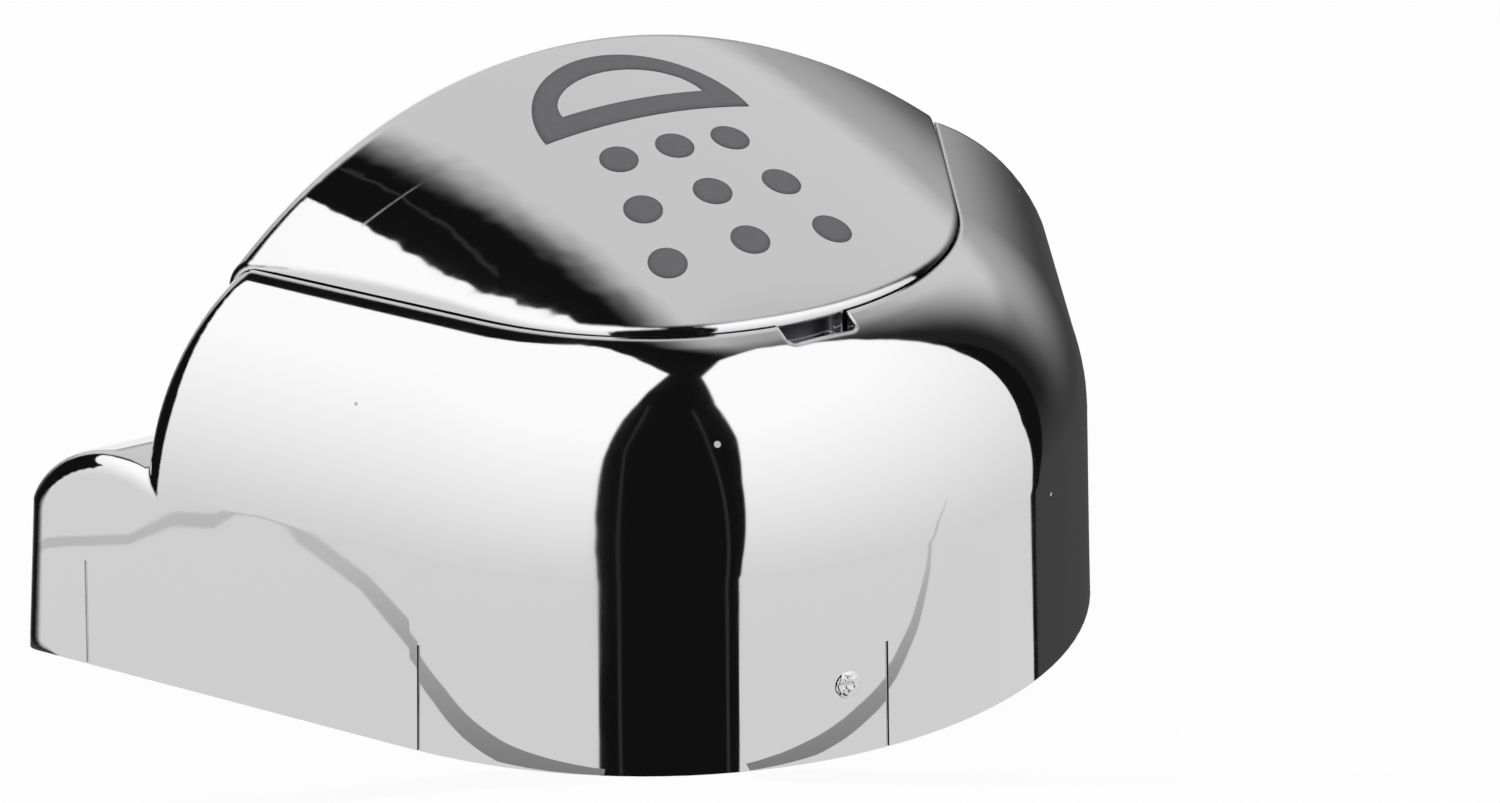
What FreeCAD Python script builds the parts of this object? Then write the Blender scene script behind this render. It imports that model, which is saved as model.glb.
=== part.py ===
import FreeCAD, Part
import math
import os
import Sketcher

# Chrome-plated handle of a wall mixer tap, in millimetres: a moulded shell with a round front and two low
# wings, a domed cap over its fixing nut, and the nut on the hub. The spindle axis is Z, the round front
# faces -Y, and the open rim stands on the plane z = 0.

SIZES = {
    # plan of the shell: a round front and two flat flanks that spread towards the back
    "front_radius": 30.0,
    "flank_angle": 28.0,
    "base_back": 13.9,
    "wall": 2.2,
    "draft": 2.0,
    # skirt with the low ledge that forms the two wings
    "ledge_height": 15.1,
    "ledge_roll": 6.5,
    "ledge_edge_round": 1.2,
    # upper shell, from the start of its shoulder to the seat of the cap
    "shoulder_start": 13.0,
    "shoulder_round": 14.9,
    "back_wall": 11.6,
    "back_wall_radius": 110.0,
    "back_edge_round": 1.6,
    "roof_underside": 23.2,
    "roof_round": 9.0,
    "seat_height": 24.7,
    "seat_width": 1.6,
    "back_seat_width": 2.8,
    "opening_inset": 9.2,
    # pry notch in the front of the rim
    "notch_width": 5.2,
    "notch_depth": 1.3,
    "notch_round": 0.6,
    # ribs, hub and spindle socket
    "rib_height": 7.4,
    "rib_thickness": 1.6,
    "flank_rib_angle": 29.3,
    "wing_rib_angle": 12.4,
    "sink_width": 0.2,
    "hub_diameter": 18.0,
    "hub_height": 15.0,
    "socket_diameter": 8.0,
    "socket_depth": 12.0,
    "stud_diameter": 6.0,
    "stud_clearance": 0.5,
    # domed cap
    "cap_gap": 0.2,
    "cap_corner_rise": 0.8,
    "cap_crown_back": 30.0,
    "cap_crest_radius": 125.0,
    "cap_arch_radius": 46.0,
    "cap_thickness": 1.6,
    "cap_edge_round": 0.5,
    "cap_back_round": 1.8,
    "lip_depth": 1.4,
    "lip_thickness": 1.2,
    # nut with a nylon locking ring in its collar
    "nut_across_flats": 10.0,
    "nut_hex_height": 4.2,
    "nut_height": 6.0,
    "nut_chamfer_angle": 30.0,
    "nut_thread_bore": 5.0,
    "nut_collar_diameter": 9.1,
    "nut_collar_wall": 0.6,
    "nut_mouth_diameter": 6.9,
    "nut_lip": 0.4,
    "ring_height": 1.4,
    "ring_bore": 5.6,
    "ring_clearance": 0.05,
}

doc = FreeCAD.newDocument("tap_handle")
sheet = doc.addObject("Spreadsheet::Sheet", "dims")
for row, (alias, value) in enumerate(SIZES.items(), start=1):
    sheet.set(f"A{row}", alias)
    sheet.set(f"B{row}", str(value))
    sheet.setAlias(f"B{row}", alias)
doc.recompute()

TOLERANCE = 1e-4
UP = FreeCAD.Vector(0, 0, 1)


def size(expression):
    return float(sheet.evalExpression(expression))


def bind(obj, **sizes):
    """Tie properties to expressions over the sheet; a double underscore in a name stands for a dot."""
    for name, expression in sizes.items():
        obj.setExpression(name.replace("__", "."), expression)


def new_body(name):
    return doc.addObject("PartDesign::Body", name)


def new_sketch(body, name, level=None):
    sketch = body.newObject("Sketcher::SketchObject", name)
    ground = next(plane for plane in body.Origin.OriginFeatures if plane.Role == "XY_Plane")
    sketch.AttachmentSupport = (ground, [""])
    sketch.MapMode = "FlatFace"
    sketch.Visibility = False
    if level:
        bind(sketch, AttachmentOffset__Base__z=level)
    return sketch


def constrain(sketch, expression, kind, *geometry):
    """Add a measured constraint and tie it to an expression."""
    value = float(sketch.evalExpression(expression))
    start = math.radians(value) if kind == "Angle" else value
    index = sketch.addConstraint(Sketcher.Constraint(kind, *geometry, start))
    sketch.setExpression(f"Constraints[{index}]", expression)


def plan_outline(body, name, radius, back, back_radius=None, level=None):
    """Round front about the spindle axis, two flanks tangent to it, and a straight or bowed back.

    An outline that lies inside another by some distance has that much less radius and back, because
    its flanks stay tangent to its round front.
    """
    sketch = new_sketch(body, name, level)
    r = float(sketch.evalExpression(radius))
    y_back = float(sketch.evalExpression(back))
    spread = math.radians(size("flank_angle"))
    tangent = FreeCAD.Vector(r * math.cos(spread), -r * math.sin(spread), 0)
    corner = FreeCAD.Vector(tangent.x + (y_back - tangent.y) * math.tan(spread), y_back, 0)
    left_tangent = FreeCAD.Vector(-tangent.x, tangent.y, 0)
    left_corner = FreeCAD.Vector(-corner.x, corner.y, 0)
    round_front = Part.Circle(FreeCAD.Vector(), UP, r)
    front = sketch.addGeometry(Part.ArcOfCircle(round_front, math.pi + spread, 2 * math.pi - spread))
    right = sketch.addGeometry(Part.LineSegment(tangent, corner))
    left = sketch.addGeometry(Part.LineSegment(left_tangent, left_corner))
    sketch.addConstraint(Sketcher.Constraint("Coincident", front, 3, -1, 1))
    sketch.addConstraint(Sketcher.Constraint("Tangent", right, 1, front, 2))
    sketch.addConstraint(Sketcher.Constraint("Tangent", left, 1, front, 1))
    constrain(sketch, radius, "Radius", front)
    constrain(sketch, "90 - dims.flank_angle", "Angle", right)
    constrain(sketch, "90 + dims.flank_angle", "Angle", left)
    if back_radius is None:
        across = sketch.addGeometry(Part.LineSegment(corner, left_corner))
        sketch.addConstraint(Sketcher.Constraint("Horizontal", across))
        constrain(sketch, back, "DistanceY", -1, 1, across, 1)
    else:
        bow = float(sketch.evalExpression(back_radius))
        half = math.asin(corner.x / bow)
        bowed = Part.Circle(FreeCAD.Vector(0, y_back - bow, 0), UP, bow)
        across = sketch.addGeometry(Part.ArcOfCircle(bowed, math.pi / 2 - half, math.pi / 2 + half))
        sketch.addConstraint(Sketcher.Constraint("PointOnObject", across, 3, -2))
        constrain(sketch, back_radius, "Radius", across)
        constrain(sketch, f"{back} - ({back_radius})", "DistanceY", -1, 1, across, 3)
    sketch.addConstraint(Sketcher.Constraint("Coincident", across, 1, right, 2))
    sketch.addConstraint(Sketcher.Constraint("Coincident", across, 2, left, 2))
    return sketch


def pad(body, name, sketch, length):
    feature = body.newObject("PartDesign::Pad", name)
    feature.Profile = sketch
    bind(feature, Length=length)
    doc.recompute()
    return feature


def faces_aside(face):
    """True for an upright face."""
    low_u, high_u, low_v, high_v = face.ParameterRange
    return abs(face.normalAt((low_u + high_u) / 2, (low_v + high_v) / 2).z) < TOLERANCE


def draw_in(body, name, base):
    """Slope the sides of a pad inwards by the moulding's draft, from the plane of the open rim."""
    feature = body.newObject("PartDesign::Draft", name)
    sides = [f"Face{i}" for i, face in enumerate(base.Shape.Faces, start=1) if faces_aside(face)]
    feature.Base = (base, sides)
    ground = next(plane for plane in body.Origin.OriginFeatures if plane.Role == "XY_Plane")
    feature.NeutralPlane = (ground, [""])
    bind(feature, Angle="dims.draft")
    doc.recompute()
    return feature


def chosen_edges(shape, wanted):
    return [i for i, edge in enumerate(shape.Edges, start=1) if wanted(edge)]


def round_body(body, name, base, wanted, radius):
    feature = body.newObject("PartDesign::Fillet", name)
    feature.Base = (base, [f"Edge{i}" for i in chosen_edges(base.Shape, wanted)])
    bind(feature, Radius=radius)
    doc.recompute()
    return feature


def round_edges(name, base, wanted, radius):
    feature = doc.addObject("Part::Fillet", name)
    feature.Base = base
    feature.Edges = [(i, size(radius), size(radius)) for i in chosen_edges(base.Shape, wanted)]
    doc.recompute()
    return feature


def primitive(kind, name, **sizes):
    feature = doc.addObject(f"Part::{kind}", name)
    bind(feature, **sizes)
    doc.recompute()
    return feature


def boolean(kind, name, base, tool):
    feature = doc.addObject(f"Part::{kind}", name)
    feature.Base = base
    feature.Tool = tool
    feature.Refine = True
    doc.recompute()
    return feature


def fuse(name, *shapes):
    feature = doc.addObject("Part::MultiFuse", name)
    feature.Shapes = list(shapes)
    feature.Refine = True
    doc.recompute()
    return feature


def at_height(edge, height):
    points = [vertex.Point for vertex in edge.Vertexes] + [edge.CenterOfMass]
    return all(abs(point.z - height) < TOLERANCE for point in points)


def runs_across(edge):
    """True for an edge that crosses the back from one flank to the other."""
    first, last = edge.Vertexes[0].Point, edge.Vertexes[-1].Point
    return abs(first.x + last.x) < TOLERANCE and edge.CenterOfMass.y > 0


def skirt_form():
    """Lower part of the moulding: the skirt, and behind the back wall the rolled ledge of the wings."""
    body = new_body("skirt_block_form")
    draw_in(body, "skirt_draft",
            pad(body, "skirt_block", plan_outline(body, "skirt_plan", "dims.front_radius", "dims.base_back"),
                "dims.ledge_height"))
    span = "4 * dims.front_radius"
    roll_back = "dims.base_back - dims.ledge_roll"
    roll_level = "dims.ledge_height - dims.ledge_roll"
    foot = primitive("Box", "ledge_foot", Length=span, Width=span, Height=roll_level)
    bind(foot, Placement__Base__x=f"-{span} / 2", Placement__Base__y=f"dims.base_back - {span}")
    shelf = primitive("Box", "skirt_top", Length=span, Width=span, Height="dims.shoulder_start")
    bind(shelf, Placement__Base__x=f"-{span} / 2", Placement__Base__y=f"{roll_back} - {span}")
    roll = primitive("Cylinder", "ledge_roll_form", Radius="dims.ledge_roll", Height=span)
    roll.Placement.Rotation = FreeCAD.Rotation(FreeCAD.Vector(0, 1, 0), 90)
    bind(roll, Placement__Base__x=f"-{span} / 2", Placement__Base__y=roll_back, Placement__Base__z=roll_level)
    doc.recompute()
    rolled = boolean("Common", "rolled_skirt", body, fuse("skirt_profile", foot, shelf, roll))

    def ends_wing(edge):
        middle = edge.CenterOfMass
        level = at_height(edge, 0) or at_height(edge, size("shoulder_start"))
        return middle.y > 0 and abs(middle.x) > size("front_radius") / 2 and not level

    return round_edges("skirt_form", rolled, ends_wing, "ledge_edge_round")


def upper_form():
    """Upper part of the moulding, with a large shoulder on its front and flanks and a bowed back wall."""
    body = new_body("upper_form")
    block = draw_in(body, "upper_draft",
                    pad(body, "upper_block", plan_outline(body, "upper_plan", "dims.front_radius",
                                                          "dims.back_wall", "dims.back_wall_radius"),
                        "dims.shoulder_start + dims.shoulder_round"))
    top = size("shoulder_start + shoulder_round")
    shoulder = round_body(body, "shoulder", block,
                          lambda edge: at_height(edge, top) and not runs_across(edge), "dims.shoulder_round")
    back_face = max(shoulder.Shape.Faces, key=lambda face: face.CenterOfMass.y)

    def bounds_back(edge):
        return not at_height(edge, 0) and any(edge.isSame(other) for other in back_face.Edges)

    round_body(body, "back_edge", shoulder, bounds_back, "dims.back_edge_round")
    return body


def core_form():
    """Hollow of the moulding, one wall thickness within its outside and flat under the cap's seat."""
    skirt = new_body("core_skirt_form")
    low = draw_in(skirt, "core_skirt_draft",
                  pad(skirt, "core_skirt", plan_outline(skirt, "core_skirt_plan",
                                                        "dims.front_radius - dims.wall",
                                                        "dims.base_back - dims.wall"),
                      "dims.shoulder_start - dims.wall"))
    top = size("shoulder_start - wall")
    round_body(skirt, "core_ledge", low, lambda edge: at_height(edge, top) and runs_across(edge),
               "dims.ledge_roll - dims.wall")
    upper = new_body("core_upper_form")
    high = draw_in(upper, "core_upper_draft",
                   pad(upper, "core_upper", plan_outline(upper, "core_upper_plan",
                                                         "dims.front_radius - dims.wall",
                                                         "dims.back_wall - dims.wall",
                                                         "dims.back_wall_radius - dims.wall"),
                       "dims.roof_underside"))
    roof = size("roof_underside")
    round_body(upper, "core_shoulder", high, lambda edge: at_height(edge, roof) and not runs_across(edge),
               "dims.roof_round")
    return fuse("core_form", skirt, upper)


def cap_opening():
    """Opening for the cap: a shallow seat round a smaller hole, with a notch to pry the cap out."""
    body = new_body("cap_opening")
    pad(body, "seat_recess", plan_outline(body, "seat_plan", "dims.front_radius - dims.opening_inset",
                                          "dims.base_back", level="dims.seat_height"),
        "dims.shoulder_round")
    pad(body, "roof_hole", plan_outline(body, "hole_plan",
                                        "dims.front_radius - dims.opening_inset - dims.seat_width",
                                        "dims.back_wall - dims.back_seat_width",
                                        "dims.back_wall_radius - dims.back_seat_width",
                                        level="dims.roof_underside - dims.wall"),
        "dims.shoulder_round")
    notch = primitive("Box", "notch_block", Length="dims.notch_width",
                      Width="dims.notch_depth + dims.seat_width", Height="dims.shoulder_round")
    bind(notch, Placement__Base__x="-dims.notch_width / 2",
         Placement__Base__y="dims.opening_inset - dims.front_radius - dims.notch_depth",
         Placement__Base__z="dims.seat_height")
    doc.recompute()
    middle = notch.Shape.CenterOfMass

    def outer_corner(edge):
        return abs(edge.CenterOfMass.z - middle.z) < TOLERANCE and edge.CenterOfMass.y < middle.y

    rounded_notch = round_edges("pry_notch", notch, outer_corner, "notch_round")
    return fuse("cap_opening_and_notch", body, rounded_notch)


def ribs_and_sinks():
    """Ribs from the hub into the wall, and the fine sink line that each rib draws on the plated outside."""
    wing_reach = "dims.front_radius / cos((dims.flank_angle + dims.wing_rib_angle) * 1 deg)"
    # direction of the rib, its reach to the outside, and the direction in which the wall faces there
    places = {
        "front": ("270", "dims.front_radius", "270"),
        "right_flank": ("360 - dims.flank_rib_angle", "dims.front_radius", "360 - dims.flank_rib_angle"),
        "left_flank": ("180 + dims.flank_rib_angle", "dims.front_radius", "180 + dims.flank_rib_angle"),
        "right_wing": ("dims.wing_rib_angle", wing_reach, "360 - dims.flank_angle"),
        "left_wing": ("180 - dims.wing_rib_angle", wing_reach, "180 + dims.flank_angle"),
    }
    ribs = []
    sinks = []
    for place, (angle, reach, facing) in places.items():
        turn = f"({angle}) * 1 deg"
        rib = primitive("Box", f"{place}_rib", Length=f"{reach} - dims.wall / 2", Width="dims.rib_thickness",
                        Height="dims.rib_height")
        bind(rib, Placement__Rotation__Angle=turn,
             Placement__Base__x=f"dims.rib_thickness / 2 * sin({turn})",
             Placement__Base__y=f"-dims.rib_thickness / 2 * cos({turn})")
        sink = primitive("Cylinder", f"{place}_sink", Radius="dims.sink_width / 2", Height="dims.rib_height")
        outward = math.radians(float(sink.evalExpression(facing)))
        along_wall = FreeCAD.Vector(-math.sin(outward), math.cos(outward), 0)
        sink.Placement.Rotation = FreeCAD.Rotation(along_wall, -size("draft"))
        bind(sink, Placement__Base__x=f"{reach} * cos({turn})", Placement__Base__y=f"{reach} * sin({turn})")
        ribs.append(rib)
        sinks.append(sink)
    doc.recompute()
    return ribs, sinks


def handle_body():
    """The moulded shell with its ribs, its hub and the spindle socket."""
    outside = fuse("outside", skirt_form(), upper_form())
    shell = boolean("Cut", "shell_wall", outside, core_form())
    ribs, sinks = ribs_and_sinks()
    hub = primitive("Cylinder", "hub", Radius="dims.hub_diameter / 2", Height="dims.hub_height")
    socket = primitive("Cylinder", "spindle_socket", Radius="dims.socket_diameter / 2",
                       Height="dims.socket_depth")
    stud_hole = primitive("Cylinder", "stud_hole", Radius="(dims.stud_diameter + dims.stud_clearance) / 2",
                          Height="dims.hub_height")
    blank = fuse("moulding_blank", shell, fuse("hub_and_ribs", hub, *ribs))
    cuts = fuse("moulding_cuts", cap_opening(), socket, stud_hole, *sinks)
    return boolean("Cut", "handle_body", blank, cuts)


def dome(name, inset="0"):
    """Solid whose top is the cap's dome, bowed along its crest and arched across it.

    It stands as high as the corners at the back of the cap need to rise above the seat.
    """
    torus = primitive("Torus", name, Radius1="dims.cap_crest_radius - dims.cap_arch_radius",
                      Radius2=f"dims.cap_arch_radius - {inset}")
    torus.Placement.Rotation = FreeCAD.Rotation(FreeCAD.Vector(0, 1, 0), 90)
    corner = ("((dims.front_radius - dims.opening_inset - dims.cap_gap) / cos(dims.flank_angle * 1 deg)"
              " + dims.back_wall * tan(dims.flank_angle * 1 deg))")
    reach = f"(dims.cap_crest_radius - dims.cap_arch_radius + sqrt(dims.cap_arch_radius ^ 2 - {corner} ^ 2))"
    bind(torus, Placement__Base__y="dims.cap_crown_back",
         Placement__Base__z="dims.seat_height + dims.cap_corner_rise"
                            f" - sqrt({reach} ^ 2 - (dims.cap_crown_back - dims.back_wall) ^ 2)")
    doc.recompute()
    return torus


def cap_outline(body, name, inset, back_inset, level):
    """Outline of the cap, drawn in from the edge of the opening and from the back wall."""
    return plan_outline(body, name, f"dims.front_radius - dims.opening_inset - {inset}",
                        f"dims.back_wall - {back_inset}", f"dims.back_wall_radius - {back_inset}", level)


def top_cap():
    """Domed cap that snaps into the opening, its back end flush with the back wall."""
    lip_level = "dims.seat_height - dims.lip_depth"
    lip_inset = "(dims.seat_width + dims.cap_gap)"
    lip_back = "(dims.back_seat_width + dims.cap_gap)"
    block = new_body("cap_block")
    pad(block, "cap_plate", cap_outline(block, "cap_plan", "dims.cap_gap", "0", "dims.seat_height"),
        "dims.front_radius")
    pad(block, "cap_lip", cap_outline(block, "lip_plan", lip_inset, lip_back, lip_level), "dims.front_radius")
    domed = boolean("Common", "domed_block", block, dome("dome_outside"))
    lowest = size("seat_height + cap_edge_round")

    def borders_dome(edge):
        return min(vertex.Point.z for vertex in edge.Vertexes) > lowest

    eased_back = round_edges("eased_back", domed, lambda edge: borders_dome(edge) and runs_across(edge),
                             "cap_back_round")
    rounded = round_edges("rounded_block", eased_back,
                          lambda edge: borders_dome(edge) and not runs_across(edge), "cap_edge_round")
    hollow = new_body("cap_hollow")
    pad(hollow, "hollow_block", cap_outline(hollow, "hollow_plan", f"({lip_inset} + dims.lip_thickness)",
                                            f"({lip_back} + dims.lip_thickness)", lip_level),
        "dims.front_radius")
    domed_hollow = boolean("Common", "domed_hollow", hollow, dome("dome_inside", "dims.cap_thickness"))
    return boolean("Cut", "top_cap", rounded, domed_hollow)


def lock_nut():
    """Hexagon nut with a turned collar that holds the locking ring, seated on the hub."""
    spread = "dims.nut_hex_height / tan(dims.nut_chamfer_angle * 1 deg)"
    inscribed = "dims.nut_across_flats / 2"
    hexagon = primitive("Prism", "nut_hexagon", Circumradius=f"{inscribed} / cos(30 deg)",
                        Height="dims.nut_hex_height")
    top_chamfer = primitive("Cone", "nut_top_chamfer", Radius1=f"{inscribed} + {spread}", Radius2=inscribed,
                            Height="dims.nut_hex_height")
    foot_chamfer = primitive("Cone", "nut_foot_chamfer", Radius1=inscribed, Radius2=f"{inscribed} + {spread}",
                             Height="dims.nut_hex_height")
    chamfered = boolean("Common", "nut_hexagon_chamfered", hexagon,
                        boolean("Common", "nut_chamfers", top_chamfer, foot_chamfer))
    collar = primitive("Cylinder", "nut_collar", Radius="dims.nut_collar_diameter / 2",
                       Height="dims.nut_height")
    bore = primitive("Cylinder", "nut_bore", Radius="dims.nut_thread_bore / 2", Height="dims.nut_height")
    recess = primitive("Cylinder", "nut_recess", Radius="dims.nut_collar_diameter / 2 - dims.nut_collar_wall",
                       Height="dims.ring_height")
    bind(recess, Placement__Base__z="dims.nut_height - dims.nut_lip - dims.ring_height")
    mouth = primitive("Cylinder", "nut_mouth", Radius="dims.nut_mouth_diameter / 2",
                      Height="dims.nut_lip + dims.ring_height")
    bind(mouth, Placement__Base__z="dims.nut_height - dims.nut_lip - dims.ring_height")
    doc.recompute()
    cuts = fuse("nut_cuts", bore, recess, mouth)
    nut = boolean("Cut", "lock_nut", fuse("nut_blank", chamfered, collar), cuts)
    bind(nut, Placement__Base__z="dims.hub_height")
    return nut


def nut_locking_ring():
    """Nylon ring held in the collar of the nut, with a bore that grips the stud's thread."""
    blank = primitive("Cylinder", "ring_blank", Height="dims.ring_height",
                      Radius="dims.nut_collar_diameter / 2 - dims.nut_collar_wall - dims.ring_clearance")
    bore = primitive("Cylinder", "ring_hole", Radius="dims.ring_bore / 2", Height="dims.ring_height")
    ring = boolean("Cut", "nut_locking_ring", blank, bore)
    bind(ring, Placement__Base__z="dims.hub_height + dims.nut_height - dims.nut_lip - dims.ring_height")
    return ring


pieces = [handle_body(), top_cap(), lock_nut(), nut_locking_ring()]
for piece in pieces:
    piece.Label = piece.Name
doc.recompute()

failed = [obj.Name for obj in doc.Objects if {"Invalid", "Error"} & set(obj.State)]
if failed:
    raise RuntimeError(f"objects that failed to compute: {failed}")
for piece in pieces:
    if piece.Shape.isNull() or not piece.Shape.isValid() or len(piece.Shape.Solids) != 1:
        raise RuntimeError(f"{piece.Label} isn't one valid solid")

os.makedirs("parts", exist_ok=True)
for piece in pieces:
    piece.Shape.exportStep(f"parts/{piece.Label}.step")
    box = piece.Shape.optimalBoundingBox()
    sides = f"{box.XLength:.2f} x {box.YLength:.2f} x {box.ZLength:.2f} mm"
    print(f"{piece.Label}: {piece.Shape.Volume:.0f} mm3, {sides}")
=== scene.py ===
import math

import bpy
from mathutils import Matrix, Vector


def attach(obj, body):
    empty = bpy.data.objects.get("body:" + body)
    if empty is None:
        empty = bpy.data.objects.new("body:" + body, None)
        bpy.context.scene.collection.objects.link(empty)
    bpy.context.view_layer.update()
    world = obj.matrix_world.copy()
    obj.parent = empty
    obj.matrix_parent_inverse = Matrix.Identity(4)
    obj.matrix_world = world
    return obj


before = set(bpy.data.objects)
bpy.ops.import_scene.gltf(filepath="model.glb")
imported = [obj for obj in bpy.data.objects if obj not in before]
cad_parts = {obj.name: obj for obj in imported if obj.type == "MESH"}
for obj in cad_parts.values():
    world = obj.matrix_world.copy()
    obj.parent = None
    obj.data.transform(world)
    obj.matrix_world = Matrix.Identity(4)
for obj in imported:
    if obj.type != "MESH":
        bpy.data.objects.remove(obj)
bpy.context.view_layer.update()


# Shell: one ABS moulding with a round front, two flat flanks and a low wing on each side, plated with bright
# chromium over copper and nickel. It stands on its open rim, and the tap's spindle enters its hub.

MM = 0.001
SHELL_RADIUS = 30.0 * MM
FLANK_ANGLE = math.radians(28.0)
SHELL_WALL = 2.2 * MM
WING_BACK = 13.9 * MM
SHOULDER_START = 13.0 * MM
LEDGE_HEIGHT = 15.1 * MM
FLECK_PLACE = (-9.8 * MM, -25.0 * MM, 21.6 * MM)
FLECK_RADIUS = 0.24 * MM
BLISTER_PLACE = (-2.9 * MM, -29.7 * MM, 5.0 * MM)
BLISTER_RADIUS = 0.95 * MM
SINK_MARK_TOP = 8.5 * MM
EDGE_EASING = 0.4 * MM
SINK_MARK_EASING = 0.02 * MM
WING_EASING = 1.4 * MM
WING_EASING_FRONT = 10.5 * MM
EASING_CHANGE = 1.5 * MM


def linear(hex_colour):
    """Linear RGBA of an sRGB hex colour."""
    channels = [int(hex_colour[i:i + 2], 16) / 255 for i in (0, 2, 4)]
    return [c / 12.92 if c <= 0.04045 else ((c + 0.055) / 1.055) ** 2.4 for c in channels] + [1.0]


def add_node(tree, kind, settings=None, **links):
    """Add a node, set its properties and sockets, and link sockets by name (spaces as underscores)."""
    node = tree.nodes.new(kind)
    for name, value in (settings or {}).items():
        if isinstance(name, str) and hasattr(node, name):
            setattr(node, name, value)
        else:
            node.inputs[name].default_value = value
    for name, source in links.items():
        socket = node.inputs[int(name[1:])] if name[0] == "i" and name[1:].isdigit() else \
            node.inputs[name.replace("_", " ")]
        tree.links.new(source, socket)
    return node


def new_material(name):
    """A material with an empty node tree, and the tree."""
    material = bpy.data.materials.new(name)
    material.use_nodes = True
    material.node_tree.nodes.clear()
    return material, material.node_tree


# Bright chromium plate on moulded ABS: a neutral mirror. The moulding under it is never quite true, so
# reflections waver over a centimetre or so, and handling leaves a thin film that dulls it in patches.
bright_chrome, tree = new_material("chromium_plate_on_abs")
place = add_node(tree, "ShaderNodeTexCoord").outputs["Object"]
film = add_node(tree, "ShaderNodeTexNoise", {"Scale": 1 / (14 * MM), "Detail": 3.0, "Roughness": 0.6},
                Vector=place)
film_gloss = add_node(tree, "ShaderNodeMapRange", {"From Min": 0.35, "From Max": 0.75, "To Min": 0.025,
                                                   "To Max": 0.06}, Value=film.outputs["Fac"])
# Edges are eased in shading only: a little all round, as plating does, and more along the back of the wings,
# where the real handle is rounder than the mesh. At the height of the sink marks they stay sharp.
place_axes = add_node(tree, "ShaderNodeSeparateXYZ", Vector=place)
easing = add_node(tree, "ShaderNodeMapRange", {
    "From Min": SINK_MARK_TOP, "From Max": SINK_MARK_TOP + EASING_CHANGE, "To Min": SINK_MARK_EASING,
    "To Max": EDGE_EASING}, Value=place_axes.outputs["Z"])
towards_back = add_node(tree, "ShaderNodeMapRange", {
    "From Min": WING_EASING_FRONT, "From Max": WING_EASING_FRONT + EASING_CHANGE, "To Min": 0.0,
    "To Max": WING_EASING}, Value=place_axes.outputs["Y"])
below_ledge = add_node(tree, "ShaderNodeMapRange", {
    "From Min": LEDGE_HEIGHT, "From Max": LEDGE_HEIGHT + EASING_CHANGE, "To Min": 1.0, "To Max": 0.0},
    Value=place_axes.outputs["Z"])
wing_easing = add_node(tree, "ShaderNodeMath", {"operation": "MULTIPLY"}, i0=towards_back.outputs["Result"],
                       i1=below_ledge.outputs["Result"])
full_easing = add_node(tree, "ShaderNodeMath", {"operation": "MAXIMUM"}, i0=easing.outputs["Result"],
                       i1=wing_easing.outputs["Value"])
eased_edge = add_node(tree, "ShaderNodeBevel", {"samples": 8}, Radius=full_easing.outputs["Value"])
waver = add_node(tree, "ShaderNodeTexNoise", {"Scale": 1 / (12 * MM), "Detail": 1.0}, Vector=place)
waver_bump = add_node(tree, "ShaderNodeBump", {"Strength": 1.0, "Distance": 0.012 * MM},
                      Height=waver.outputs["Fac"], Normal=eased_edge.outputs["Normal"])
# One blister in the plate, low on the front, is wrinkled like foil.
from_blister = add_node(tree, "ShaderNodeVectorMath", {"operation": "DISTANCE", 1: BLISTER_PLACE}, i0=place)
blister_swell = add_node(tree, "ShaderNodeMapRange", {
    "interpolation_type": "SMOOTHSTEP", "From Min": 0.6 * BLISTER_RADIUS, "From Max": BLISTER_RADIUS,
    "To Min": 1.0, "To Max": 0.0}, Value=from_blister.outputs["Value"])
wrinkles = add_node(tree, "ShaderNodeTexNoise", {"Scale": 1 / (0.6 * MM), "Detail": 2.0}, Vector=place)
blister = add_node(tree, "ShaderNodeMath", {"operation": "MULTIPLY"}, i0=blister_swell.outputs["Result"],
                   i1=wrinkles.outputs["Fac"])
blister_bump = add_node(tree, "ShaderNodeBump", {"Strength": 1.0, "Distance": 0.35 * MM},
                        Height=blister.outputs["Value"], Normal=waver_bump.outputs["Normal"])
# Grains of dust lie on the plate, some 0.2 mm across and a centimetre or so apart, and one pale fleck sits
# on the front. Each is a dull spot.
grains = add_node(tree, "ShaderNodeTexVoronoi", {"Scale": 1 / (9 * MM), "Randomness": 1.0}, Vector=place)
grain_spot = add_node(tree, "ShaderNodeMapRange", {"From Min": 0.012, "From Max": 0.018, "To Min": 1.0,
                                                   "To Max": 0.0}, Value=grains.outputs["Distance"])
from_fleck = add_node(tree, "ShaderNodeVectorMath", {"operation": "DISTANCE", 1: FLECK_PLACE}, i0=place)
fleck_spot = add_node(tree, "ShaderNodeMapRange", {
    "From Min": 0.8 * FLECK_RADIUS, "From Max": FLECK_RADIUS, "To Min": 1.0, "To Max": 0.0},
    Value=from_fleck.outputs["Value"])
spots = add_node(tree, "ShaderNodeMath", {"operation": "MAXIMUM"}, i0=grain_spot.outputs["Result"],
                 i1=fleck_spot.outputs["Result"])
plate_gloss = add_node(tree, "ShaderNodeMath", {"operation": "MULTIPLY_ADD", 1: 0.7},
                       i0=spots.outputs["Value"], i2=film_gloss.outputs["Result"])
plate = add_node(tree, "ShaderNodeBsdfPrincipled", {"Base Color": linear("D3D3D4"), "Metallic": 1.0},
                 Roughness=plate_gloss.outputs["Value"], Normal=blister_bump.outputs["Normal"])
add_node(tree, "ShaderNodeOutputMaterial", Surface=plate.outputs["BSDF"])

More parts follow.
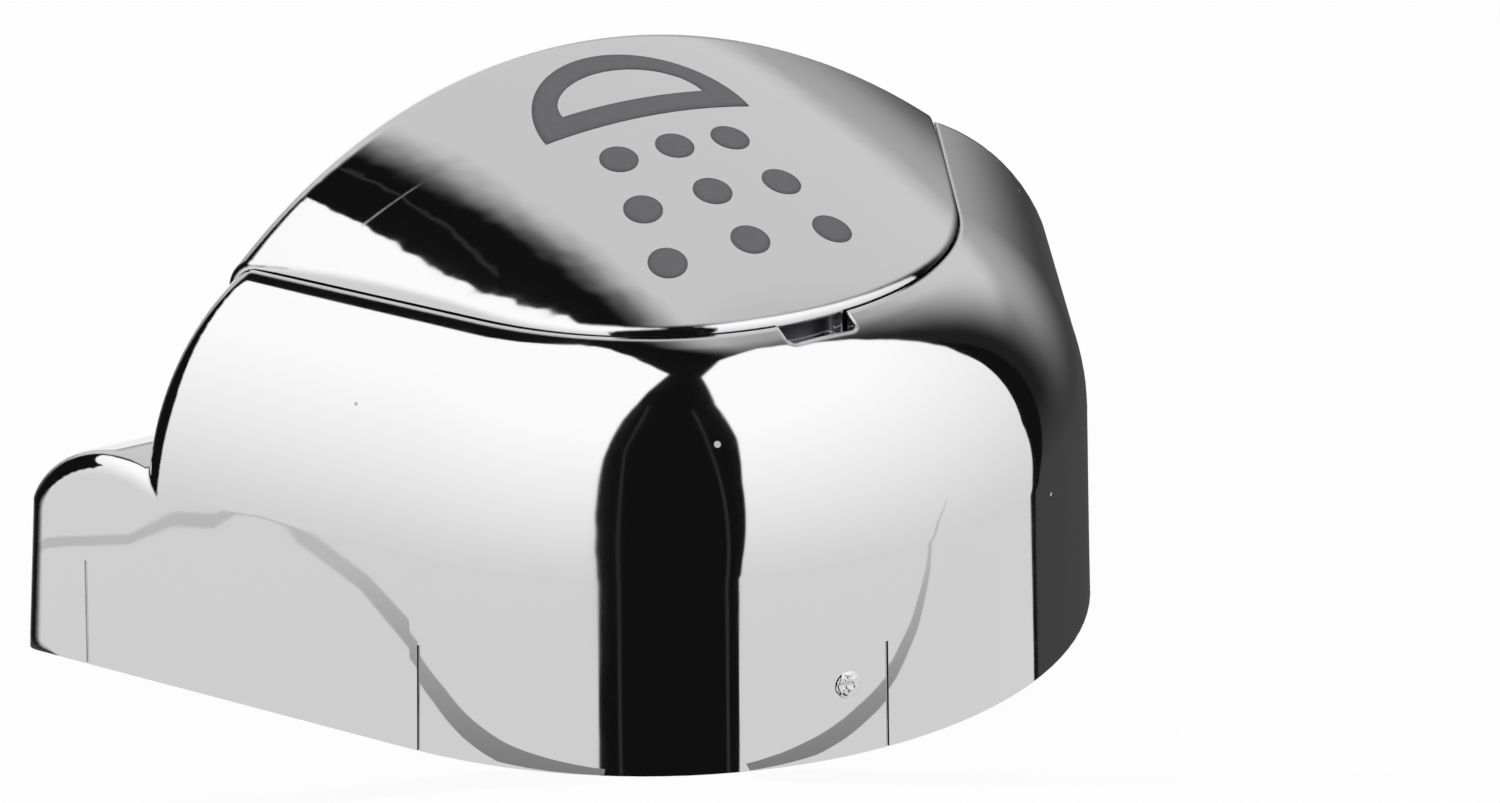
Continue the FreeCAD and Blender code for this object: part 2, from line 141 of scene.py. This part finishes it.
# Inside, the plate is thin over an unpolished mould surface, so it is satin and a little darker; its darker
# colour is also painted shade for the hollow and the pry notch.
satin_chrome_with_painted_shade, tree = new_material("thin_chromium_plate_inside_painted_shade")
place = add_node(tree, "ShaderNodeTexCoord").outputs["Object"]
mould_grain = add_node(tree, "ShaderNodeTexNoise", {"Scale": 1 / (0.8 * MM), "Detail": 4.0}, Vector=place)
mould_gloss = add_node(tree, "ShaderNodeMapRange", {"To Min": 0.24, "To Max": 0.40},
                       Value=mould_grain.outputs["Fac"])
mould_bump = add_node(tree, "ShaderNodeBump", {"Strength": 0.5, "Distance": 0.03 * MM},
                      Height=mould_grain.outputs["Fac"])
inside_plate_painted_shade = add_node(tree, "ShaderNodeBsdfPrincipled", {"Base Color": linear("929396"), "Metallic": 1.0},
                        Roughness=mould_gloss.outputs["Result"], Normal=mould_bump.outputs["Normal"])
add_node(tree, "ShaderNodeOutputMaterial", Surface=inside_plate_painted_shade.outputs["BSDF"])


def lies_inside(face):
    """True for a face of the shell's hollow: its walls, roof, ribs and hub, and the rim it stands on."""
    x, y, z = face.center
    if z < 0.1 * MM and face.normal.z < -0.9:
        return True
    across, along = math.cos(FLANK_ANGLE), math.sin(FLANK_ANGLE)
    on_arc = y < -abs(x) * along / across
    reach = math.hypot(x, y) if on_arc else abs(x) * across - y * along
    outward = Vector((x, y, 0)).normalized()
    if z > SHOULDER_START:
        return face.normal.z < -0.05 or (face.normal.dot(outward) < -0.2 and face.normal.z < 0.2)
    return reach < SHELL_RADIUS - SHELL_WALL / 2 and not (face.normal.y > 0.3 and y > WING_BACK - 7 * MM)


def in_sink_mark(face):
    """True for a face of a sink mark, the groove that a rib pulls into the round front as it cools."""
    x, y, z = face.center
    outward = Vector((x, y, 0)).normalized()
    on_arc = y < -abs(x) * math.tan(FLANK_ANGLE)
    return (on_arc and 0.1 * MM < z < SINK_MARK_TOP and math.hypot(x, y) > SHELL_RADIUS - SHELL_WALL / 2
            and face.normal.dot(outward) < 0.97)


# The sink marks are painted dark grey: painted shade in the grooves, which show as dark lines. That
# they are nickel, too narrow for chromium to reach, is a guess.
sink_mark_painted_shade, tree = new_material("sink_marks_painted_shade")
groove_painted_shade = add_node(tree, "ShaderNodeBsdfPrincipled", {"Base Color": linear("2C2C2E"), "Metallic": 1.0,
                                                     "Roughness": 0.4})
add_node(tree, "ShaderNodeOutputMaterial", Surface=groove_painted_shade.outputs["BSDF"])

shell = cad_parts["handle_body"]
shell.data.materials.clear()
shell.data.materials.append(bright_chrome)
shell.data.materials.append(satin_chrome_with_painted_shade)
shell.data.materials.append(sink_mark_painted_shade)
for face in shell.data.polygons:
    face.material_index = 2 if in_sink_mark(face) else 1 if lies_inside(face) else 0


# Lock nut: a steel M6 nut, cold formed and zinc plated, that holds the shell down on the spindle's stud.
# Its collar is rolled over a nylon ring that grips the thread.

zinc_steel, tree = new_material("zinc_plated_steel")
place = add_node(tree, "ShaderNodeTexCoord").outputs["Object"]
# Tumbling with other nuts leaves fine dull marks a few tenths of a millimetre wide.
tumble_marks = add_node(tree, "ShaderNodeTexNoise", {"Scale": 1 / (0.5 * MM), "Detail": 5.0}, Vector=place)
tumble_gloss = add_node(tree, "ShaderNodeMapRange", {"To Min": 0.18, "To Max": 0.42},
                        Value=tumble_marks.outputs["Fac"])
tumble_bump = add_node(tree, "ShaderNodeBump", {"Strength": 0.4, "Distance": 0.02 * MM},
                       Height=tumble_marks.outputs["Fac"])
nut_metal = add_node(tree, "ShaderNodeBsdfPrincipled", {"Base Color": linear("BDB9AE"), "Metallic": 1.0},
                     Roughness=tumble_gloss.outputs["Result"], Normal=tumble_bump.outputs["Normal"])
add_node(tree, "ShaderNodeOutputMaterial", Surface=nut_metal.outputs["BSDF"])
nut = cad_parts["lock_nut"]
nut.data.materials.clear()
nut.data.materials.append(zinc_steel)

# Nylon 6, dyed dark: waxy, with a dull gloss from the mould.
dark_nylon, tree = new_material("dark_nylon")
place = add_node(tree, "ShaderNodeTexCoord").outputs["Object"]
waxy = add_node(tree, "ShaderNodeTexNoise", {"Scale": 1 / (0.6 * MM), "Detail": 2.0}, Vector=place)
waxy_gloss = add_node(tree, "ShaderNodeMapRange", {"To Min": 0.38, "To Max": 0.55},
                      Value=waxy.outputs["Fac"])
nylon = add_node(tree, "ShaderNodeBsdfPrincipled", {"Base Color": linear("1C1D24"), "IOR": 1.53},
                 Roughness=waxy_gloss.outputs["Result"])
add_node(tree, "ShaderNodeOutputMaterial", Surface=nylon.outputs["BSDF"])
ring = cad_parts["nut_locking_ring"]
ring.data.materials.clear()
ring.data.materials.append(dark_nylon)


# Cap: a thin ABS dome, plated like the shell, that snaps into the rim over the nut. A notch in the rim lets
# a blade lift it out again. It carries one light scratch.

CAP_SEAT = 24.7 * MM
SCRATCH_START = Vector((-20.8, 2.1)) * MM
SCRATCH_END = Vector((-15.2, 2.2)) * MM
SCRATCH_WIDTH = 0.2 * MM
SCRATCH_TAPER = 1.5 * MM

cap_chrome, tree = new_material("chromium_plate_on_abs_cap")
place = add_node(tree, "ShaderNodeTexCoord").outputs["Object"]
film = add_node(tree, "ShaderNodeTexNoise", {"Scale": 1 / (10 * MM), "Detail": 4.0, "Roughness": 0.6},
                Vector=place)
film_gloss = add_node(tree, "ShaderNodeMapRange", {"From Min": 0.35, "From Max": 0.75, "To Min": 0.02,
                                                   "To Max": 0.045}, Value=film.outputs["Fac"])
eased_edge = add_node(tree, "ShaderNodeBevel", {"samples": 6, "Radius": EDGE_EASING})
waver = add_node(tree, "ShaderNodeTexNoise", {"Scale": 1 / (5 * MM), "Detail": 2.0}, Vector=place)
waver_bump = add_node(tree, "ShaderNodeBump", {"Strength": 1.0, "Distance": 0.03 * MM},
                      Height=waver.outputs["Fac"], Normal=eased_edge.outputs["Normal"])
# The scratch runs along x once the plan is turned into its direction.
scratch = SCRATCH_END - SCRATCH_START
scratch_place = add_node(tree, "ShaderNodeMapping", {
    "vector_type": "TEXTURE", "Location": (SCRATCH_START.x, SCRATCH_START.y, 0.0),
    "Rotation": (0.0, 0.0, math.atan2(scratch.y, scratch.x))}, Vector=place)
scratch_axes = add_node(tree, "ShaderNodeSeparateXYZ", Vector=scratch_place.outputs["Vector"])
scratch_aside = add_node(tree, "ShaderNodeMath", {"operation": "ABSOLUTE"}, i0=scratch_axes.outputs["Y"])
scratch_line = add_node(tree, "ShaderNodeMapRange", {
    "From Min": 0.0, "From Max": SCRATCH_WIDTH, "To Min": 1.0, "To Max": 0.0},
    Value=scratch_aside.outputs["Value"])
scratch_from_middle = add_node(tree, "ShaderNodeMath", {"operation": "SUBTRACT", 1: scratch.length / 2},
                               i0=scratch_axes.outputs["X"])
scratch_along = add_node(tree, "ShaderNodeMath", {"operation": "ABSOLUTE"},
                         i0=scratch_from_middle.outputs["Value"])
scratch_ends = add_node(tree, "ShaderNodeMapRange", {
    "From Min": scratch.length / 2 - SCRATCH_TAPER, "From Max": scratch.length / 2, "To Min": 1.0,
    "To Max": 0.0}, Value=scratch_along.outputs["Value"])
scratch_mask = add_node(tree, "ShaderNodeMath", {"operation": "MULTIPLY"}, i0=scratch_line.outputs["Result"],
                        i1=scratch_ends.outputs["Result"])
scratch_gloss = add_node(tree, "ShaderNodeMath", {"operation": "MULTIPLY_ADD", 1: 0.2},
                         i0=scratch_mask.outputs["Value"], i2=film_gloss.outputs["Result"])
cap_plate = add_node(tree, "ShaderNodeBsdfPrincipled", {"Base Color": linear("D3D3D4"), "Metallic": 1.0},
                     Roughness=scratch_gloss.outputs["Value"], Normal=waver_bump.outputs["Normal"])
add_node(tree, "ShaderNodeOutputMaterial", Surface=cap_plate.outputs["BSDF"])
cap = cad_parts["top_cap"]
cap.data.materials.clear()
cap.data.materials.append(cap_chrome)
# The cap's hidden faces take the satin inside plate, with its painted shade.
cap.data.materials.append(satin_chrome_with_painted_shade)
for face in cap.data.polygons:
    outward = Vector((face.center.x, face.center.y, 0.0)).normalized()
    hidden = face.center.z < CAP_SEAT or face.normal.z < -0.05 or face.normal.dot(outward) < -0.5
    face.material_index = 1 if hidden else 0


# Sign: the common mark for the shower outlet, a spray head and nine drops, pad printed on the cap in one
# pass of dark grey ink. The ink film lies on the dome, and a real one is thinner than it is drawn here.

CREST_RADIUS = 125.0 * MM
ARCH_RADIUS = 46.0 * MM
CROWN_HEIGHT = 37.7 * MM
CROWN_BACK = 30.0 * MM
INK_FILM = 0.04 * MM
SIGN_TURN = math.radians(-1.7)
DROP_RADIUS, DROP_CORE = 1.3, 0.05  # in millimetres, like all plan places of the sign
DROP_ROWS = {-3.7: 4.2, -8.75: 5.2, -13.7: 6.15}  # place of each row and spacing of its drops, in millimetres
DROP_SIDES = 32
DROP_RINGS = 3


def on_dome(x, y):
    """Point of the ink film over a place in plan, the sign turned about the spindle axis."""
    px = (x * math.cos(SIGN_TURN) - y * math.sin(SIGN_TURN)) * MM
    py = (x * math.sin(SIGN_TURN) + y * math.cos(SIGN_TURN)) * MM
    arch = CREST_RADIUS - ARCH_RADIUS + math.sqrt(ARCH_RADIUS ** 2 - px ** 2)
    return px, py, CROWN_HEIGHT - CREST_RADIUS + math.sqrt(arch ** 2 - (py - CROWN_BACK) ** 2) + INK_FILM


def ink_strip(inner, outer, steps, points, faces):
    """Faces between two closed outlines of equally many plan points."""
    first, count = len(points), len(outer)
    for step in range(steps + 1):
        share = step / steps
        points += [on_dome(a[0] + (b[0] - a[0]) * share, a[1] + (b[1] - a[1]) * share)
                   for a, b in zip(inner, outer)]
    for step in range(steps):
        for i in range(count):
            a, b = first + step * count + i, first + step * count + (i + 1) % count
            faces.append((a, a + count, b + count, b))


def half_round(half_width, front, top, arc_steps=40, bar_steps=24):
    """Outline of a spray head in plan: a half round whose straight side faces the front."""
    turns = [math.pi * i / arc_steps for i in range(arc_steps + 1)]
    arc = [(half_width * math.cos(t), front + (top - front) * math.sin(t)) for t in turns]
    bar = [(half_width * (2 * i / bar_steps - 1), front) for i in range(1, bar_steps)]
    return arc + bar


sign_points, sign_faces = [], []
ink_strip(half_round(5.35, 1.9, 5.75), half_round(7.7, -0.1, 7.7), 4, sign_points, sign_faces)
drop_turns = [2 * math.pi * i / DROP_SIDES for i in range(DROP_SIDES)]
for row, spacing in DROP_ROWS.items():
    for column in (-1, 0, 1):
        core, rim = ([(column * spacing + radius * math.cos(t), row + radius * math.sin(t))
                      for t in drop_turns] for radius in (DROP_CORE, DROP_RADIUS))
        first = len(sign_points)
        ink_strip(core, rim, DROP_RINGS, sign_points, sign_faces)
        sign_faces.append(tuple(range(first, first + DROP_SIDES)))
sign_mesh = bpy.data.meshes.new("shower_sign")
sign_mesh.from_pydata(sign_points, [], sign_faces)
sign_mesh.shade_smooth()
sign = bpy.data.objects.new("shower_sign", sign_mesh)
bpy.context.scene.collection.objects.link(sign)
film_body = sign.modifiers.new("ink_film", "SOLIDIFY")
film_body.thickness = 1.5 * INK_FILM
film_body.offset = -1.0

# Two-part printing ink, matt grey, with the faint mottle of the pad.
print_ink, tree = new_material("pad_printed_ink")
place = add_node(tree, "ShaderNodeTexCoord").outputs["Object"]
mottle = add_node(tree, "ShaderNodeTexNoise", {"Scale": 1 / (0.35 * MM), "Detail": 3.0}, Vector=place)
ink_colour = add_node(tree, "ShaderNodeMix", {"data_type": "RGBA", 6: linear("606062"),
                                              7: linear("6C6C6E")}, i0=mottle.outputs["Fac"])
ink_gloss = add_node(tree, "ShaderNodeMapRange", {"To Min": 0.55, "To Max": 0.75},
                     Value=mottle.outputs["Fac"])
ink = add_node(tree, "ShaderNodeBsdfPrincipled", {"IOR": 1.5, "Specular IOR Level": 0.35},
               Base_Color=ink_colour.outputs[2], Roughness=ink_gloss.outputs["Result"])
add_node(tree, "ShaderNodeOutputMaterial", Surface=ink.outputs["BSDF"])
sign_mesh.materials.append(print_ink)
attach(sign, "root")


# Camera: a long lens, a little above the handle and to its left.

VIEW_AZIMUTH = math.radians(-30.6)
VIEW_HEIGHT = math.radians(24.37)
VIEW_DISTANCE = 438.0 * MM
FOCAL_PIXELS = 6409.0
AIM_RIGHT, AIM_UP = 6.88 * MM, 12.36 * MM

towards = Vector((math.sin(VIEW_AZIMUTH) * math.cos(VIEW_HEIGHT),
                  -math.cos(VIEW_AZIMUTH) * math.cos(VIEW_HEIGHT), math.sin(VIEW_HEIGHT)))
rightwards = Vector((math.cos(VIEW_AZIMUTH), math.sin(VIEW_AZIMUTH), 0.0))
upwards = towards.cross(rightwards)
lens = bpy.data.cameras.new("camera")
lens.sensor_width = 36.0
lens.lens = FOCAL_PIXELS / 1500 * lens.sensor_width
lens.clip_start, lens.clip_end = 0.01, 20.0
camera = bpy.data.objects.new("camera", lens)
camera.location = towards * VIEW_DISTANCE
aim = rightwards * AIM_RIGHT + upwards * AIM_UP - camera.location
camera.rotation_euler = aim.to_track_quat("-Z", "Y").to_euler()
bpy.context.scene.collection.objects.link(camera)
bpy.context.scene.camera = camera


# Studio: a white sheet under the handle, two large white panels that reach from below it to overhead, a low
# third panel behind, and a grey light over that. Between the panels, behind the camera and overhead, the room
# is dark. The camera never sees the panels, only their reflections, in which they take the sheet's place.
# Their corners were set from where a ray-cast sent the edges that the photograph shows in the plate.

PANEL_DISTANCE = 1.5


def studio_direction(turn, height):
    """Direction by its angle to the right of the camera and its height above the horizon, in degrees."""
    turn, height = VIEW_AZIMUTH + math.radians(turn), math.radians(height)
    return Vector((math.sin(turn) * math.cos(height), -math.cos(turn) * math.cos(height), math.sin(height)))


def panel(name, middle, outline, finish):
    """A board seen in reflections only, by its middle and corners as studio directions."""
    mesh = bpy.data.meshes.new(name)
    corners = [studio_direction(*middle)] + [studio_direction(*corner) for corner in outline]
    count = len(outline)
    mesh.from_pydata([corner * PANEL_DISTANCE for corner in corners], [],
                     [(0, i + 1, (i + 1) % count + 1) for i in range(count)])
    board = bpy.data.objects.new(name, mesh)
    bpy.context.scene.collection.objects.link(board)
    board.visible_camera = False
    board.visible_shadow = False
    mesh.materials.append(finish)


# The lamps hang over the panels, so each is brighter towards its top.
lit_panel, tree = new_material("lit_white_panel")
spot = add_node(tree, "ShaderNodeNewGeometry").outputs["Position"]
spot_direction = add_node(tree, "ShaderNodeVectorMath", {"operation": "NORMALIZE"}, i0=spot)
spot_axes = add_node(tree, "ShaderNodeSeparateXYZ", Vector=spot_direction.outputs["Vector"])
panel_light = add_node(tree, "ShaderNodeMapRange", {"From Min": -0.36, "From Max": 0.82, "To Min": 0.95,
                                                    "To Max": 1.48}, Value=spot_axes.outputs["Z"])
glow = add_node(tree, "ShaderNodeEmission", {"Color": linear("FFFFFF")},
                Strength=panel_light.outputs["Result"])
add_node(tree, "ShaderNodeOutputMaterial", Surface=glow.outputs["Emission"])
panel("left_panel", (-60, 10), [
    (-13, -70), (-13, -22), (-14, 29), (-14, 40), (-13, 50), (-11, 60), (-7, 68), (4, 77), (33, 84),
    (-150, 87), (-154, 78), (-147, 73.5), (-138, 70.5), (-132, 67), (-130, 62), (-131, 55), (-132, 46),
    (-110, 44), (-90, 44), (-77, 32), (-71, 18), (-71, 4), (-79, -20), (-79, -70)], lit_panel)
panel("right_panel", (70, 10), [
    (22, -70), (22, -22), (25, 27), (29, 47), (32, 65), (54, 79), (102, 79), (122, 72), (117, 55), (113, 25),
    (111, 0), (116, -22), (116, -70)], lit_panel)
panel("back_panel", (-169, -25), [
    (172, -70), (172, 0), (-170, 14), (-158, 14), (-150, 0), (-150, -70)], lit_panel)

# The panels' dark frames stand a little way off their edges and catch some light.
panel_frame, tree = new_material("dark_painted_frame")
frame_glow = add_node(tree, "ShaderNodeEmission", {"Color": linear("FFFFFF"), "Strength": 0.038})
add_node(tree, "ShaderNodeOutputMaterial", Surface=frame_glow.outputs["Emission"])
panel("left_frame", (-7.7, 0), [(-8.1, -70), (-8.1, 45), (-7.3, 45), (-7.3, -70)], panel_frame)
panel("left_frame_top", (-3.7, 57), [(-8.1, 45), (0.6, 68), (2.4, 68), (-7.3, 45)], panel_frame)
panel("right_frame", (19, 0), [(18.6, -70), (18.6, 45), (19.4, 45), (19.4, -70)], panel_frame)
panel("right_frame_top", (19.5, 55), [(18.6, 45), (19.2, 64), (20.8, 64), (19.4, 45)], panel_frame)
panel("overhead_frame", (-142.3, 58), [
    (-140.6, 49), (-142.9, 60), (-141.7, 67), (-140.3, 67), (-141.9, 60), (-139.9, 49)], panel_frame)

# Grey lines run through the plate's reflections, as if from the cut edges of a second sheet. They are darker
# near the handle.
paper_edge, tree = new_material("paper_edge_in_shade")
spot = add_node(tree, "ShaderNodeNewGeometry").outputs["Position"]
spot_distance = add_node(tree, "ShaderNodeVectorMath", {"operation": "LENGTH"}, i0=spot)
shade_light = add_node(tree, "ShaderNodeMapRange", {"From Min": 30 * MM, "From Max": 60 * MM, "To Min": 0.3,
                                                    "To Max": 0.72}, Value=spot_distance.outputs["Value"])
shade = add_node(tree, "ShaderNodeEmission", {"Color": linear("FFFFFF")},
                 Strength=shade_light.outputs["Result"])
add_node(tree, "ShaderNodeOutputMaterial", Surface=shade.outputs["Emission"])
# Places along the cut edges in plan, with the width of the shade there, in millimetres. A ray-cast from the
# lines in the photograph gave the first places, which were then rounded and shifted.
PAPER_EDGES = {
    "left_paper_edge": [
        (-60, 18, 2), (-62, 13.5, 2), (-63, 9, 2), (-68, 6.5, 3), (-68, 3.4, 3), (-76, 0.5, 4), (-66, -3, 3),
        (-57, -8.5, 2.6), (-48, -12.5, 2.6), (-37, -17.5, 3), (-26, -21.5, 3), (-18.5, -25, 1)],
    "right_paper_edge": [
        (-9.9, -29.7, 1.2), (-5.3, -33.1, 2.4), (0.9, -37.4, 2.6), (8.4, -41.9, 2.4), (26, -52, 2.2),
        (56, -76, 3), (100, -111, 5)],
}
for name, places in PAPER_EDGES.items():
    line = []
    for x, y, width in places:
        cut = Vector((x, y, 0.0))
        line += [(cut - cut.normalized() * width) * MM, cut * MM]
    line_mesh = bpy.data.meshes.new(name)
    line_mesh.from_pydata(line, [], [(i, i + 1, i + 3, i + 2) for i in range(0, len(line) - 2, 2)])
    line_mesh.materials.append(paper_edge)
    cut_edge = bpy.data.objects.new(name, line_mesh)
    bpy.context.scene.collection.objects.link(cut_edge)
    cut_edge.visible_camera = False
    cut_edge.visible_shadow = False

# The sheet lies a hair below the rim. The camera sees it overexposed to white, with a trace of shadow.
SHEET_HALF = 6.0
SHEET_DROP = 0.02 * MM
sheet_white, tree = new_material("white_paper_sheet")
rays = add_node(tree, "ShaderNodeLightPath")
paper = add_node(tree, "ShaderNodeBsdfDiffuse", {"Color": linear("F4F4F4")})
lift = add_node(tree, "ShaderNodeEmission", {"Color": linear("FFFFFF")},
                Strength=rays.outputs["Is Camera Ray"])
lit_paper = add_node(tree, "ShaderNodeMixShader", {0: 0.94}, i1=paper.outputs["BSDF"],
                     i2=lift.outputs["Emission"])
clear = add_node(tree, "ShaderNodeBsdfTransparent")
sheet_mix = add_node(tree, "ShaderNodeMixShader", i0=rays.outputs["Is Glossy Ray"],
                     i1=lit_paper.outputs["Shader"], i2=clear.outputs["BSDF"])
add_node(tree, "ShaderNodeOutputMaterial", Surface=sheet_mix.outputs["Shader"])
sheet_mesh = bpy.data.meshes.new("sheet")
sheet_mesh.from_pydata([(x * SHEET_HALF, y * SHEET_HALF, -SHEET_DROP)
                        for x, y in ((-1, -1), (1, -1), (1, 1), (-1, 1))], [], [(0, 1, 2, 3)])
sheet_mesh.materials.append(sheet_white)
sheet = bpy.data.objects.new("sheet", sheet_mesh)
bpy.context.scene.collection.objects.link(sheet)

# The light behind is a large screen with two soft edges, one overhead that falls to the left and one upright
# on the right. Its foot is dimmer than its top, and the ground under it is dark grey.
SCREEN_RIGHT_EDGE = 133
world = bpy.data.worlds.new("studio")
world.use_nodes = True
tree = world.node_tree
tree.nodes.clear()
rays = add_node(tree, "ShaderNodeLightPath")
look = add_node(tree, "ShaderNodeTexCoord").outputs["Generated"]
overhead_side = studio_direction(-150, 52).cross(studio_direction(-178, 71.5)).normalized()
past_overhead = add_node(tree, "ShaderNodeVectorMath", {"operation": "DOT_PRODUCT", 1: tuple(overhead_side)},
                         i0=look)
overhead_edge = add_node(tree, "ShaderNodeMapRange", {
    "interpolation_type": "SMOOTHSTEP", "From Min": -0.06, "From Max": 0.07},
    Value=past_overhead.outputs["Value"])
past_right = add_node(tree, "ShaderNodeVectorMath", {
    "operation": "DOT_PRODUCT", 1: tuple(studio_direction(SCREEN_RIGHT_EDGE + 90, 0))}, i0=look)
right_edge = add_node(tree, "ShaderNodeMapRange", {
    "interpolation_type": "SMOOTHSTEP", "From Min": -0.16, "From Max": 0.22},
    Value=past_right.outputs["Value"])
look_axes = add_node(tree, "ShaderNodeSeparateXYZ", Vector=look)
screen_foot = add_node(tree, "ShaderNodeMapRange", {
    "interpolation_type": "SMOOTHSTEP", "From Min": -0.25, "From Max": 0.30, "To Min": 0.0, "To Max": 0.52},
    Value=look_axes.outputs["Z"])
screen_top = add_node(tree, "ShaderNodeMapRange", {
    "interpolation_type": "SMOOTHSTEP", "From Min": 0.24, "From Max": 0.38, "To Min": 0.0, "To Max": 0.31},
    Value=look_axes.outputs["Z"])
screen_light = add_node(tree, "ShaderNodeMath", {"operation": "ADD"}, i0=screen_foot.outputs["Result"],
                        i1=screen_top.outputs["Result"])
ground_light = add_node(tree, "ShaderNodeMapRange", {"From Min": -0.30, "From Max": 0.0, "To Min": 0.065,
                                                     "To Max": 0.012}, Value=look_axes.outputs["Z"])
ground_edge = add_node(tree, "ShaderNodeMapRange", {"From Min": -0.225, "From Max": -0.21},
                       Value=past_right.outputs["Value"])
ground = add_node(tree, "ShaderNodeMath", {"operation": "MULTIPLY"}, i0=ground_light.outputs["Result"],
                  i1=ground_edge.outputs["Result"])
screen = add_node(tree, "ShaderNodeMath", {"operation": "MULTIPLY_ADD"}, i0=right_edge.outputs["Result"],
                  i1=screen_light.outputs["Value"], i2=ground.outputs["Value"])
back_light = add_node(tree, "ShaderNodeMath", {"operation": "MULTIPLY_ADD", 2: 0.008},
                      i0=overhead_edge.outputs["Result"], i1=screen.outputs["Value"])
room = add_node(tree, "ShaderNodeBackground", {"Color": linear("FFFFFF")},
                Strength=back_light.outputs["Value"])
backdrop = add_node(tree, "ShaderNodeBackground", {"Color": linear("FFFFFF"), "Strength": 1.0})
seen = add_node(tree, "ShaderNodeMixShader", i0=rays.outputs["Is Camera Ray"], i1=room.outputs["Background"],
                i2=backdrop.outputs["Background"])
add_node(tree, "ShaderNodeOutputWorld", Surface=seen.outputs["Shader"])
bpy.context.scene.world = world
bpy.context.scene.view_settings.view_transform = "Standard"
